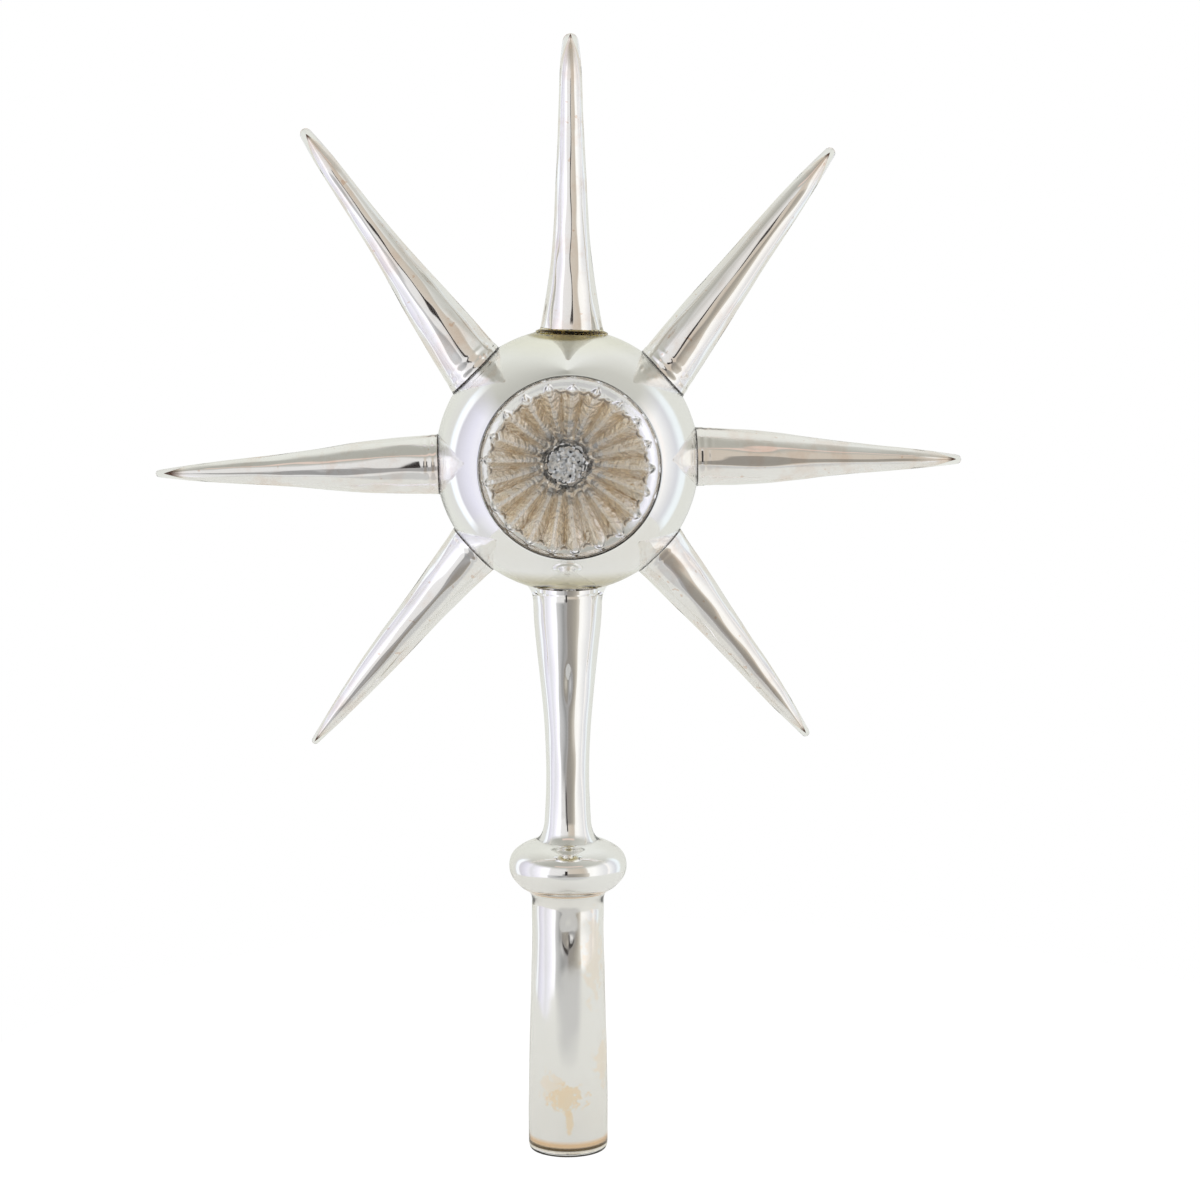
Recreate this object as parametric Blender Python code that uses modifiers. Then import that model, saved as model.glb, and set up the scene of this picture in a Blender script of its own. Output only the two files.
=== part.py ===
"""A silvered blown-glass star for the top of a tree: Blender 4.5, metres, +Z up.

The origin is the centre of the socket's mouth. +Z runs up the stem and -Y is the front, where
the fluted reflector faces. The ball, its reflector, the seven spikes, the stem, the knop and the
socket are sections of thin glass, joined end to end, and the hollow runs through all of them.
"""

import math
from collections import namedtuple

import bpy
from mathutils import Matrix, Vector

MM = 0.001
JOINT_GAP = 0.3

BALL_RADIUS = 38.5
BALL_HEIGHT = 206.8
BALL_WALL = 1.2
BALL_STEPS = 40
BALL_ARC_STEPS = 14

REFLECTOR_RADIUS = 25.9
REFLECTOR_WALL = 1.1
REFLECTOR_DEPTH = 25.0
REFLECTOR_GAP = 1.5 * JOINT_GAP
SMOOTH_RIM_WIDTH = 2.2
SMOOTH_RIM_DROP = 0.4
DISH_CURVE = 1.15
DISH_RINGS = 5
FLUTE_COUNT = 21
FLUTE_DEPTH = 1.3
FLUTE_FADE = 0.25
FLUTE_STEPS = 4

DOT_SEAT_RADIUS = 5.2
DOT_RADIUS = 4.6
DOT_THICKNESS = 1.5
DOT_EDGE_THICKNESS = 0.6
DOT_STEPS = 20

SPIKE_WALL = 1.0
SPIKE_STEPS = 16
SPIKE_SOLID_TIP = 9.0
SPIKE_ROOT = 5.0
SPIKE_VENT_RADIUS = 5.0
SPIKE_STATIONS = (0.0, 0.25, 0.5, 0.75)

TURNED_STEPS = 24
TURNED_WALL = 1.2
STEM_VENT_RADIUS = 7.0

# Heights above the mouth and outer radii, from the top down.
STEM_OUTLINE = (
    (172.0, 11.0),
    (166.0, 10.4),
    (156.0, 9.5),
    (142.0, 8.1),
    (130.0, 7.0),
    (113.0, 6.35),
    (101.0, 6.85),
    (94.5, 8.4),
)
KNOP_OUTLINE = (
    (94.2, 8.6),
    (92.4, 13.2),
    (90.2, 16.1),
    (86.4, 17.5),
    (82.6, 16.3),
    (79.8, 13.5),
    (78.3, 11.1),
)
SOCKET_OUTLINE = (
    (78.0, 11.1),
    (74.0, 10.65),
    (57.0, 10.9),
    (33.0, 11.55),
    (12.0, 11.9),
    (2.0, 11.85),
)
# Across the lip's end: where the outer wall begins to turn in, then the flat land's two edges.
LIP_OUTLINE = (
    (0.7, 11.75),
    (0.0, 11.45),
    (0.0, 10.75),
)

Spike = namedtuple("Spike", "name seat lean reach radii tip_radius")

# seat: where the spike stands on the ball, in degrees from +X towards +Z.
# lean: the direction of its tip from the ball's centre. reach: how far the tip is from there.
# radii: the outer radius at the base, and at a quarter, a half and three quarters of the length.
SPIKES = (
    Spike("spike_top", 88.0, 89.5, 123.0, (9.2, 5.8, 4.5, 3.5), 2.4),
    Spike("spike_upper_right", 42.5, 49.5, 118.7, (8.6, 7.2, 5.4, 3.9), 1.7),
    Spike("spike_right", 1.5, 0.0, 115.7, (8.5, 7.6, 5.3, 3.4), 1.4),
    Spike("spike_lower_right", 315.5, 311.0, 108.6, (8.6, 6.8, 5.0, 3.5), 1.3),
    Spike("spike_lower_left", 223.5, 228.0, 112.2, (8.2, 6.4, 5.1, 3.4), 1.1),
    Spike("spike_left", 181.5, 181.7, 119.9, (8.6, 7.5, 5.1, 3.3), 1.1),
    Spike("spike_upper_left", 135.0, 128.5, 122.2, (9.2, 7.1, 4.7, 3.3), 1.8),
)

BALL_CENTRE = Vector((0.0, 0.0, BALL_HEIGHT))
RIM_DISTANCE = math.sqrt(BALL_RADIUS**2 - REFLECTOR_RADIUS**2)
RIM_RADIUS = REFLECTOR_RADIUS - REFLECTOR_GAP
FLOWER_RADIUS = RIM_RADIUS - SMOOTH_RIM_WIDTH
DISH_FLOOR = RIM_DISTANCE - REFLECTOR_DEPTH
# Turns a profile drawn round Z into one round Y, with its top towards the front.
FACING_FRONT = Matrix.Translation(BALL_CENTRE * MM) @ Matrix.Rotation(math.radians(90), 4, "X")


def clear_scene():
    for old in list(bpy.data.objects):
        bpy.data.objects.remove(old, do_unlink=True)


def new_collection(name):
    collection = bpy.data.collections.new(name)
    bpy.context.scene.collection.children.link(collection)
    return collection


def new_material(name, colour, metallic, roughness):
    material = bpy.data.materials.new(name)
    material.use_nodes = True
    shader = material.node_tree.nodes["Principled BSDF"]
    shader.inputs["Base Color"].default_value = (*colour, 1.0)
    shader.inputs["Metallic"].default_value = metallic
    shader.inputs["Roughness"].default_value = roughness
    return material


def along_curve(points, steps):
    """Points on a smooth curve through the given ones, with this many steps between each two."""
    ends = [points[0], *points, points[-1]]
    found = []
    for before, start, end, after in zip(ends, ends[1:], ends[2:], ends[3:]):
        for step in range(steps):
            t = step / steps
            found.append(
                tuple(
                    0.5
                    * (
                        2 * b
                        + (c - a) * t
                        + (2 * a - 5 * b + 4 * c - d) * t**2
                        + (3 * b - a - 3 * c + d) * t**3
                    )
                    for a, b, c, d in zip(before, start, end, after)
                )
            )
    found.append(points[-1])
    return found


def arc(radius, centre_height, start, end, steps):
    """(height, radius) points on a circle round the turning axis, angles measured from the axis."""
    angles = [math.radians(start + (end - start) * i / steps) for i in range(steps + 1)]
    return [(centre_height + radius * math.cos(a), radius * math.sin(a)) for a in angles]


def turned(name, profile, steps, collection, material=None, closed=False):
    """A solid turned round Z from (height, radius) points, outer side first, from the top down."""
    mesh = bpy.data.meshes.new(name)
    points = [(radius * MM, 0.0, height * MM) for height, radius in profile]
    edges = [(i, i + 1) for i in range(len(points) - 1)]
    if closed:
        edges.append((len(points) - 1, 0))
    mesh.from_pydata(points, edges, [])
    piece = bpy.data.objects.new(name, mesh)
    collection.objects.link(piece)
    screw = piece.modifiers.new("Turn", "SCREW")
    screw.steps = steps
    screw.render_steps = steps
    screw.use_merge_vertices = True
    screw.merge_threshold = 1e-6
    screw.use_smooth_shade = True
    if material:
        mesh.materials.append(material)
    return piece


def tube_profile(outline, wall):
    """A closed profile: down the outer side of the outline, and back up inside its wall."""
    inner = [(height, radius - wall) for height, radius in reversed(outline)]
    return [*outline, *inner]


def cut(piece, cutter, name):
    boolean = piece.modifiers.new(name, "BOOLEAN")
    boolean.operation = "DIFFERENCE"
    boolean.solver = "EXACT"
    boolean.object = cutter


def hide_cutter(cutter):
    cutter.hide_render = True
    cutter.display_type = "WIRE"
    return cutter


def rod_cutter(name, radius, start, end, collection):
    """A hidden cylinder between two points."""
    length = (end - start).length
    rod = turned(
        name,
        [(length, 0.0), (length, radius), (0.0, radius), (0.0, 0.0)],
        TURNED_STEPS,
        collection,
    )
    turn = (end - start).to_track_quat("Z", "Y").to_matrix().to_4x4()
    rod.matrix_world = Matrix.Translation(start * MM) @ turn
    return hide_cutter(rod)


def in_plane(angle, distance):
    """A point at this angle and distance from the ball's centre, in the plane of the spikes."""
    turn = math.radians(angle)
    return BALL_CENTRE + distance * Vector((math.cos(turn), 0.0, math.sin(turn)))


def seat_sphere(collection):
    """What the spikes and the stem are cut back by, so that each meets the ball all round."""
    profile = arc(BALL_RADIUS + JOINT_GAP, 0.0, 0.0, 180.0, TURNED_STEPS)
    sphere = turned("seat_sphere", profile, 2 * TURNED_STEPS, collection)
    sphere.location = BALL_CENTRE * MM
    return hide_cutter(sphere)


def make_ball(parts, cutters):
    """The glass ball: open at the front for the reflector, with a vent into each spike and the stem."""
    bore_radius = BALL_RADIUS - BALL_WALL
    outer_opening = math.degrees(math.asin(REFLECTOR_RADIUS / BALL_RADIUS))
    inner_opening = math.degrees(math.asin(REFLECTOR_RADIUS / bore_radius))
    outer = arc(BALL_RADIUS, 0.0, outer_opening, 180.0, BALL_ARC_STEPS)
    inner = arc(bore_radius, 0.0, 180.0, inner_opening, BALL_ARC_STEPS)
    glass = new_material("ball_silvered_glass", (0.86, 0.86, 0.88), 1.0, 0.05)
    ball = turned("ball", [*outer, *inner], BALL_STEPS, parts, glass, closed=True)
    ball.matrix_world = FACING_FRONT
    for spike in SPIKES:
        vent = rod_cutter(
            f"{spike.name}_vent",
            SPIKE_VENT_RADIUS,
            in_plane(spike.seat, BALL_RADIUS - 3 * BALL_WALL),
            in_plane(spike.seat, BALL_RADIUS + 3 * BALL_WALL),
            cutters,
        )
        cut(ball, vent, f"Vent to {spike.name}")
    stem_vent = rod_cutter(
        "stem_vent",
        STEM_VENT_RADIUS,
        in_plane(270.0, BALL_RADIUS - 3 * BALL_WALL),
        in_plane(270.0, BALL_RADIUS + 3 * BALL_WALL),
        cutters,
    )
    cut(ball, stem_vent, "Vent to stem")


def dish_depth(share):
    """How far the flutes have sunk below the rim, with share 0 at their outer ends and 1 at the dot."""
    fluted_depth = REFLECTOR_DEPTH - SMOOTH_RIM_DROP
    return SMOOTH_RIM_DROP + fluted_depth * math.sin(share * math.pi / 2) ** DISH_CURVE


def press_flutes(mesh):
    """Raises the flutes' ridges, which fade out at the smooth rim and at the dot's seat."""
    for vertex in mesh.vertices:
        share = (vertex.co.xy.length / MM - DOT_SEAT_RADIUS) / (FLOWER_RADIUS - DOT_SEAT_RADIUS)
        if 0.0 < share < 1.0:
            turn = math.atan2(vertex.co.y, vertex.co.x)
            height = FLUTE_DEPTH * min(1.0, share / FLUTE_FADE, (1.0 - share) / FLUTE_FADE)
            vertex.co.z += height * MM * 0.5 * (1.0 - math.cos(FLUTE_COUNT * turn))


def make_reflector(parts, cutters):
    """The pressed cup: a smooth rim, then flutes that run in to the dot's flat seat."""
    profile = [(DISH_FLOOR, 0.0)]
    for ring in range(DISH_RINGS + 1):
        share = ring / DISH_RINGS
        radius = DOT_SEAT_RADIUS + (FLOWER_RADIUS - DOT_SEAT_RADIUS) * share
        profile.append((RIM_DISTANCE - dish_depth(1.0 - share), radius))
    profile.append((RIM_DISTANCE, RIM_RADIUS))
    blank = turned("reflector_blank", profile, FLUTE_COUNT * FLUTE_STEPS, cutters)
    bpy.context.view_layer.update()
    graph = bpy.context.evaluated_depsgraph_get()
    mesh = bpy.data.meshes.new_from_object(blank.evaluated_get(graph))
    bpy.data.objects.remove(blank)
    press_flutes(mesh)
    mesh.materials.clear()
    mesh.materials.append(new_material("reflector_silvered_glass", (0.78, 0.72, 0.63), 1.0, 0.12))
    reflector = bpy.data.objects.new("reflector", mesh)
    parts.objects.link(reflector)
    reflector.matrix_world = FACING_FRONT
    shell = reflector.modifiers.new("Glass wall", "SOLIDIFY")
    shell.thickness = REFLECTOR_WALL * MM
    shell.offset = -1.0


def make_dot(parts):
    """The blob of glitter on the flat seat at the bottom of the cup."""
    seat = DISH_FLOOR + JOINT_GAP
    crown = DOT_THICKNESS - DOT_EDGE_THICKNESS
    profile = []
    for turn in (0.0, 30.0, 60.0, 90.0):
        height = seat + DOT_EDGE_THICKNESS + crown * math.cos(math.radians(turn))
        profile.append((height, DOT_RADIUS * math.sin(math.radians(turn))))
    profile += [(seat, DOT_RADIUS), (seat, 0.0)]
    glitter = new_material("dot_glitter", (0.55, 0.55, 0.55), 0.8, 0.4)
    dot = turned("glitter_dot", profile, DOT_STEPS, parts, glitter)
    dot.matrix_world = FACING_FRONT


def spike_profile(spike, length):
    """Down the outer side from the tip to below the root, and up the bore to the solid tip."""
    stations = [(length * share, radius) for share, radius in zip(SPIKE_STATIONS, spike.radii)]
    shoulder = (length - spike.tip_radius, spike.tip_radius)
    outline = along_curve([shoulder, *reversed(stations)], 2)
    cap = arc(spike.tip_radius, shoulder[0], 0.0, 90.0, 3)[:-1]
    root = (-SPIKE_ROOT, spike.radii[0])
    bore = [(height, radius - SPIKE_WALL) for height, radius in [root, *stations]]
    return [*cap, *outline, root, *bore, (length - SPIKE_SOLID_TIP, 0.0)]


def make_spike(spike, parts, cutter):
    """One drawn point of glass, open where it meets the ball and solid at its tip."""
    seat = in_plane(spike.seat, BALL_RADIUS)
    tip = in_plane(spike.lean, spike.reach)
    length = (tip - seat).length
    glass = new_material(f"{spike.name}_silvered_glass", (0.84, 0.83, 0.82), 1.0, 0.06)
    piece = turned(spike.name, spike_profile(spike, length), SPIKE_STEPS, parts, glass)
    turn = (tip - seat).to_track_quat("Z", "Y").to_matrix().to_4x4()
    piece.matrix_world = Matrix.Translation(seat * MM) @ turn
    cut(piece, cutter, "Meet the ball")


def make_stem(parts, cutter):
    """The tube between the ball and the knop, waisted above the knop."""
    glass = new_material("stem_silvered_glass", (0.84, 0.83, 0.82), 1.0, 0.06)
    profile = tube_profile(along_curve(STEM_OUTLINE, 2), TURNED_WALL)
    stem = turned("stem", profile, TURNED_STEPS, parts, glass, closed=True)
    cut(stem, cutter, "Meet the ball")


def make_knop(parts):
    """The round bulge between the stem and the socket."""
    glass = new_material("knop_silvered_glass", (0.86, 0.85, 0.83), 1.0, 0.05)
    profile = tube_profile(along_curve(KNOP_OUTLINE, 2), TURNED_WALL)
    turned("knop", profile, TURNED_STEPS, parts, glass, closed=True)


def make_socket(parts):
    """The open tube that goes over the tree's top shoot, with a fire-rounded lip."""
    glass = new_material("socket_silvered_glass", (0.85, 0.84, 0.81), 1.0, 0.08)
    outside = along_curve(SOCKET_OUTLINE, 2)
    inside = [(height, radius - TURNED_WALL) for height, radius in reversed(outside)]
    profile = [*outside, *LIP_OUTLINE, *inside]
    turned("socket", profile, TURNED_STEPS, parts, glass, closed=True)


def main():
    clear_scene()
    parts = new_collection("star_finial")
    cutters = new_collection("cutters")
    sphere = seat_sphere(cutters)
    make_ball(parts, cutters)
    make_reflector(parts, cutters)
    make_dot(parts)
    for spike in SPIKES:
        make_spike(spike, parts, sphere)
    make_stem(parts, sphere)
    make_knop(parts)
    make_socket(parts)


main()
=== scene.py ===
"""The silvered glass star finial: its looks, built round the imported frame.

Every section is a real wall of clear glass, a closed mesh whose outer faces are glass and whose
inner faces carry the silver. Light goes in through the glass and comes back off the silver, so
the tips and the lip are clear and the joints show as thin rings, as on the real thing.
"""

import math
from collections import namedtuple

import bmesh
import bpy
import numpy as np
from mathutils import Matrix, Vector, noise


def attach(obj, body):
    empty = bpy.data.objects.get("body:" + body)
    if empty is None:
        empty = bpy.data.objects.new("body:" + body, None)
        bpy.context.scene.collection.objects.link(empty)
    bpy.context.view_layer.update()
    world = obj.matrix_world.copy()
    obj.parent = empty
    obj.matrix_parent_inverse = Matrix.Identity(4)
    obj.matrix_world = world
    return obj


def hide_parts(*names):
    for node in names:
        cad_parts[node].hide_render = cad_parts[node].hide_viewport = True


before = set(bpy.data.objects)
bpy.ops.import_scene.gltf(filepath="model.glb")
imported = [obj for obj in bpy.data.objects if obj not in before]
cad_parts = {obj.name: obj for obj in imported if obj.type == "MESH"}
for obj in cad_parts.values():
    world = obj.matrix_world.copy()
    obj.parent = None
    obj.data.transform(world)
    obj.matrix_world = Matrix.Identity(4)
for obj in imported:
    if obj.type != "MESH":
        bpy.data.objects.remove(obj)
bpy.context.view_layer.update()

MM = 0.001

# The CAD model's own dimensions, in millimetres.
BALL_RADIUS = 38.5
BALL_HEIGHT = 206.8
BALL_CENTRE = np.array([0.0, 0.0, BALL_HEIGHT])
RIM_RADIUS = 25.9
FLUTE_COUNT = 21

Spike = namedtuple("Spike", "name seat lean reach radii tip_radius clear bend burnt ridges")

# seat, lean, reach and radii are the CAD's. clear: how much of the tip holds no bore.
# bend: how far the middle bows to the left of the line from seat to tip.
# burnt: length of the brown end of the silver.
# ridges: (distance from the ball, height) of each ring left by the flame at the spike's foot.
SPIKES = (
    Spike("spike_top", 88.0, 89.5, 123.0, (9.2, 5.8, 4.5, 3.5), 2.4, 0.7, 0.0, 1.2, ()),
    Spike("spike_upper_right", 42.5, 49.5, 118.7, (8.6, 7.2, 5.4, 3.9), 1.7, 1.6, 0.4, 2.2,
          ((1.4, 0.12), (4.0, 0.06))),
    Spike("spike_right", 1.5, 0.0, 115.7, (8.5, 7.6, 5.3, 3.4), 1.4, 1.6, 0.0, 2.8,
          ((1.5, 0.14), (3.6, 0.06))),
    Spike("spike_lower_right", 315.5, 311.0, 108.6, (8.6, 6.8, 5.0, 3.5), 1.3, 1.1, 0.3, 2.4,
          ((1.4, 0.08),)),
    Spike("spike_lower_left", 223.5, 228.0, 112.2, (8.2, 6.4, 5.1, 3.4), 1.1, 0.8, -0.3, 2.6,
          ((1.4, 0.08),)),
    Spike("spike_left", 181.5, 181.7, 119.9, (8.6, 7.5, 5.1, 3.3), 1.1, 2.4, 0.2, 5.5,
          ((1.5, 0.12), (3.6, 0.06))),
    Spike("spike_upper_left", 135.0, 128.5, 122.2, (9.2, 7.1, 4.7, 3.3), 1.8, 1.8, 0.2, 2.0,
          ((1.2, 0.12), (3.4, 0.06))),
)
SPIKE_WALL_SHARE = 0.13
# A spike's rings follow the ball's curve at its foot, and even out over about this length.
SPIKE_FADE = 6.0
RIDGE_WIDTH = 0.6
SEAT_GAP = 0.015
# The flat ring of amber glass that the top spike stands on.
COLLARED = "spike_top"
COLLAR_RADIUS = 10.5
COLLAR_HEIGHT = 0.5
COLLAR_ROUND = 0.2
# How far each spike's foot spreads where it meets the ball.
FOOT_FLARE = 0.25

# Heights above the mouth and outer radii of the body below the ball, from the top down.
BODY_OUTLINE = (
    (170.1, 11.9), (168.7, 10.9), (166.5, 10.25), (162.0, 9.98), (154.0, 9.35), (142.0, 8.05),
    (130.0, 6.98), (113.0, 6.35), (101.0, 6.8), (96.5, 7.5), (94.5, 8.8), (93.2, 11.6),
    (91.9, 14.1), (90.3, 16.1), (88.4, 17.15), (86.0, 17.45), (83.6, 16.9), (81.4, 15.3),
    (79.6, 13.2), (78.6, 11.6), (77.4, 10.9), (74.5, 10.66), (68.0, 10.66), (57.0, 10.9),
    (45.0, 11.2), (33.0, 11.54), (20.0, 11.8), (10.0, 11.87), (3.0, 11.87), (1.2, 11.75),
    (0.35, 11.5),
)
# Where the body is parted into sections, and the hair's breadth left between them.
KNOP_TOP = 94.35
KNOP_FOOT = 78.15
SEAM = 0.012
TUBE_WALL = 1.2
# The bore runs straight up through the thick ring of glass that welds the stem to the ball.
WELD_BORE = 9.0
WELD_START = 163.0
# Flaws at the front of the bore, where the glass is thicker: (height, depth, half height, half turn).
BORE_FLAWS = ((141.6, 0.32, 3.4, 0.09), (68.2, 0.42, 3.2, 0.12))
# Above this the stem spreads into the weld, which is one lump with the ball.
WELD_FOOT = 167.9
# The fire-rounded lip: where it starts, its rows, and how much of it holds no silver.
LIP_TOP = 0.3
LIP = ((0.1, 11.28), (0.0, 11.0), (0.12, 10.78), (0.5, 10.66))
LIP_CLEAR = 0.9

# How finely the glass is meshed: round and along the tubes, and round the ball and the dot.
SECTION_STEPS = 112
BODY_ROWS = 620
BORE_BLUR = 4.0
BALL_STEPS = 224
BALL_ROWS = 90
DOT_STEPS = 96
BODY_RIPPLE = 0.045

# The rounded rim of the ball's opening.
FILLET = 0.9
BALL_BORE = BALL_RADIUS - FILLET
OPENING_TURN = math.asin(RIM_RADIUS / BALL_BORE)
RIM_CENTRE = BALL_BORE * np.array([math.sin(OPENING_TURN), math.cos(OPENING_TURN)])
# The silver stops this far short of the crease inside the rim, so the rim shows a dark line.
BARE_GLASS = 0.28

# The pressed flower: how far it sits from the rim's axis, its size, how far its points reach out,
# the lean of its flutes, one crest's place, and the glass's thickness.
DISH_SHIFT = (-0.4, -0.8)
FLOWER_RADIUS = 23.25
FLOWER_POINTS = 2.7
FLUTE_TILT = math.radians(35)
CREST_TURN = math.radians(275.3)
DISH_WALL = 0.9

DOT_RADIUS = 5.1
FLAKE_COUNT = 230

# The table in metres, how much of its left side is cut away and from where, and how far in
# front of the finial its shaded patch lies, in millimetres.
TABLE_RADIUS = 0.30
TABLE_CUT = 0.36
TABLE_CUT_START = 0.15
TABLE_SHADE = 290.0

# Bounces at which light counts as deep in the glass, and how much of the dim room it then loses.
DEEP_BOUNCES = (4.4, 4.6, 98, 99)
DEEP_SHARE = 0.8


def smooth_curve(points, count):
    """Evenly spread points on a natural cubic spline through the given ones."""
    knots = np.array(points, float)
    chord = np.linalg.norm(np.diff(knots, axis=0), axis=1)
    at = np.concatenate([[0.0], np.cumsum(chord)])
    size = len(knots)
    system = np.eye(size)
    bends = np.zeros_like(knots)
    for i in range(1, size - 1):
        before, after = chord[i - 1], chord[i]
        system[i, i - 1 : i + 2] = before, 2 * (before + after), after
        bends[i] = 6 * (
            (knots[i + 1] - knots[i]) / after - (knots[i] - knots[i - 1]) / before
        )
    second = np.linalg.solve(system, bends)
    where = np.linspace(0.0, at[-1], count)
    index = np.clip(np.searchsorted(at, where, side="right") - 1, 0, size - 2)
    width = chord[index][:, None]
    a = (at[index + 1] - where)[:, None] / width
    b = 1.0 - a
    return (
        a * knots[index]
        + b * knots[index + 1]
        + ((a**3 - a) * second[index] + (b**3 - b) * second[index + 1]) * width**2 / 6
    )


def waves(seed, count, lengths, lobes=(1, 3)):
    """A smooth ripple of height about 1, as a function of turn (radians) and distance (mm).

    lengths and lobes are the shortest and longest wave along, and the fewest and most around.
    """
    rng = np.random.default_rng(seed)
    around = rng.integers(lobes[0], lobes[1] + 1, count)
    along = rng.uniform(*lengths, count)
    phases = rng.uniform(0.0, 2 * math.pi, (count, 2))
    strengths = rng.uniform(0.5, 1.0, count) / math.sqrt(count)

    def ripple(turn, distance):
        total = 0.0
        for m, length, (first, second), strength in zip(around, along, phases, strengths):
            total = total + strength * np.cos(m * turn + first) * np.cos(
                2 * math.pi * distance / length + second
            )
        return total

    return ripple


def face_outwards(mesh):
    """Turn a closed mesh's faces outwards, since light has to know which side is glass."""
    solid = bmesh.new()
    solid.from_mesh(mesh)
    if solid.calc_volume(signed=True) < 0.0:
        mesh.flip_normals()
    solid.free()


def add_solid(name, points, faces, kinds, materials, sharp):
    """A closed piece from points in metres, smooth but for edges sharper than so many degrees."""
    mesh = bpy.data.meshes.new(name)
    mesh.from_pydata(points, [], faces)
    for material in materials:
        mesh.materials.append(material)
    mesh.polygons.foreach_set("material_index", kinds)
    face_outwards(mesh)
    mesh.shade_smooth()
    mesh.set_sharp_from_angle(angle=math.radians(sharp))
    piece = bpy.data.objects.new(name, mesh)
    bpy.context.scene.collection.objects.link(piece)
    return piece


def ring_mesh(name, rings, kinds, materials, closed=False):
    """A mesh from rings of points in millimetres. A ring of one point is a pole.

    kinds holds the material of the faces between each ring and the next.
    """
    points, starts = [], []
    for ring in rings:
        ring = np.atleast_2d(ring)
        starts.append((len(points), len(ring)))
        points.extend(map(tuple, ring * MM))
    faces, face_kinds = [], []
    pairs = list(zip(range(len(rings) - 1), range(1, len(rings))))
    if closed:
        pairs.append((len(rings) - 1, 0))
    for (upper, lower), kind in zip(pairs, kinds):
        (a, size_a), (b, size_b) = starts[upper], starts[lower]
        size = max(size_a, size_b)
        for i in range(size):
            j = (i + 1) % size
            corners = [a + i % size_a, b + i % size_b, b + j % size_b, a + j % size_a]
            if size_a == 1:
                corners = [a, b + i, b + j]
            elif size_b == 1:
                corners = [a + i, b, a + j]
            faces.append(corners)
            face_kinds.append(kind)
    return add_solid(name, points, faces, face_kinds, materials, 40)


def finish_piece(piece, slot, *nodes):
    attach(piece, "root")
    if nodes:
        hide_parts(*nodes)
    return piece


# ---------------------------------------------------------------- materials


def new_material(name):
    """A material with one Principled shader: the material, its tree, the shader and the output."""
    material = bpy.data.materials.new(name)
    material.use_nodes = True
    tree = material.node_tree
    tree.nodes.clear()
    output = tree.nodes.new("ShaderNodeOutputMaterial")
    shader = tree.nodes.new("ShaderNodeBsdfPrincipled")
    tree.links.new(shader.outputs["BSDF"], output.inputs["Surface"])
    return material, tree, shader, output


def add_noise(tree, scale, detail=2.0, roughness=0.5, stretch=(1.0, 1.0, 1.0), shift=0.0):
    """A noise texture over object coordinates, with its scale in features per metre."""
    coordinates = tree.nodes.new("ShaderNodeTexCoord")
    mapping = tree.nodes.new("ShaderNodeMapping")
    mapping.inputs["Scale"].default_value = stretch
    mapping.inputs["Location"].default_value = (shift, shift * 0.7, shift * 1.3)
    texture = tree.nodes.new("ShaderNodeTexNoise")
    texture.inputs["Scale"].default_value = scale
    texture.inputs["Detail"].default_value = detail
    texture.inputs["Roughness"].default_value = roughness
    tree.links.new(coordinates.outputs["Object"], mapping.inputs["Vector"])
    tree.links.new(mapping.outputs["Vector"], texture.inputs["Vector"])
    return texture.outputs["Fac"]


def add_ramp(tree, factor, stops):
    """stops: (position, colour). The colours have three channels."""
    ramp = tree.nodes.new("ShaderNodeValToRGB")
    elements = ramp.color_ramp.elements
    while len(elements) < len(stops):
        elements.new(0.5)
    for element, (position, colour) in zip(elements, stops):
        element.position = position
        element.color = (*colour, 1.0)
    tree.links.new(factor, ramp.inputs["Fac"])
    return ramp.outputs["Color"]


def add_bump(tree, shader, height, strength, distance):
    bump = tree.nodes.new("ShaderNodeBump")
    bump.inputs["Strength"].default_value = strength
    bump.inputs["Distance"].default_value = distance
    tree.links.new(height, bump.inputs["Height"])
    tree.links.new(bump.outputs["Normal"], shader.inputs["Normal"])


def clear_glass(name, tint=(0.996, 0.998, 0.988), bends=1.5):
    """Soda glass, with the faintest green.

    Where two sections are fused, the faces between them have bends 1.0, so nothing shows there.
    """
    material, _, shader, _ = new_material(name)
    shader.inputs["Base Color"].default_value = (*tint, 1.0)
    shader.inputs["Roughness"].default_value = 0.0
    shader.inputs["IOR"].default_value = bends
    shader.inputs["Transmission Weight"].default_value = 1.0
    return material


def add_math(tree, operation, first, second=None, third=None, clamp=False):
    made = tree.nodes.new("ShaderNodeMath")
    made.operation = operation
    made.use_clamp = clamp
    for socket, value in zip(made.inputs, (first, second, third)):
        if isinstance(value, (int, float)):
            socket.default_value = value
        elif value is not None:
            tree.links.new(value, socket)
    return made.outputs[0]


def add_mix(tree, factor, first, second):
    """Mix two colours. second may be a socket or three channels."""
    made = tree.nodes.new("ShaderNodeMix")
    made.data_type = "RGBA"
    tree.links.new(factor, made.inputs[0])
    tree.links.new(first, made.inputs[6])
    if isinstance(second, tuple):
        made.inputs[7].default_value = (*second, 1.0)
    else:
        tree.links.new(second, made.inputs[7])
    return made.outputs[2]


def add_window(tree, value, edges):
    """0 below the first edge, 1 between the second and third, and 0 above the fourth."""
    rise = tree.nodes.new("ShaderNodeMapRange")
    fall = tree.nodes.new("ShaderNodeMapRange")
    for step, (low, high) in ((rise, edges[:2]), (fall, edges[2:])):
        step.inputs["From Min"].default_value = low
        step.inputs["From Max"].default_value = high
        tree.links.new(value, step.inputs["Value"])
    fall.inputs["To Min"].default_value = 1.0
    fall.inputs["To Max"].default_value = 0.0
    return add_math(tree, "MULTIPLY", rise.outputs[0], fall.outputs[0])


def add_band(tree, distance, start, full, end=None, gone=None):
    """A window with its edges in millimetres. With no end it goes on for ever."""
    if end is None:
        end, gone = 1000.0, 1100.0
    return add_window(tree, distance, [edge * MM for edge in (start, full, end, gone)])


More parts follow.
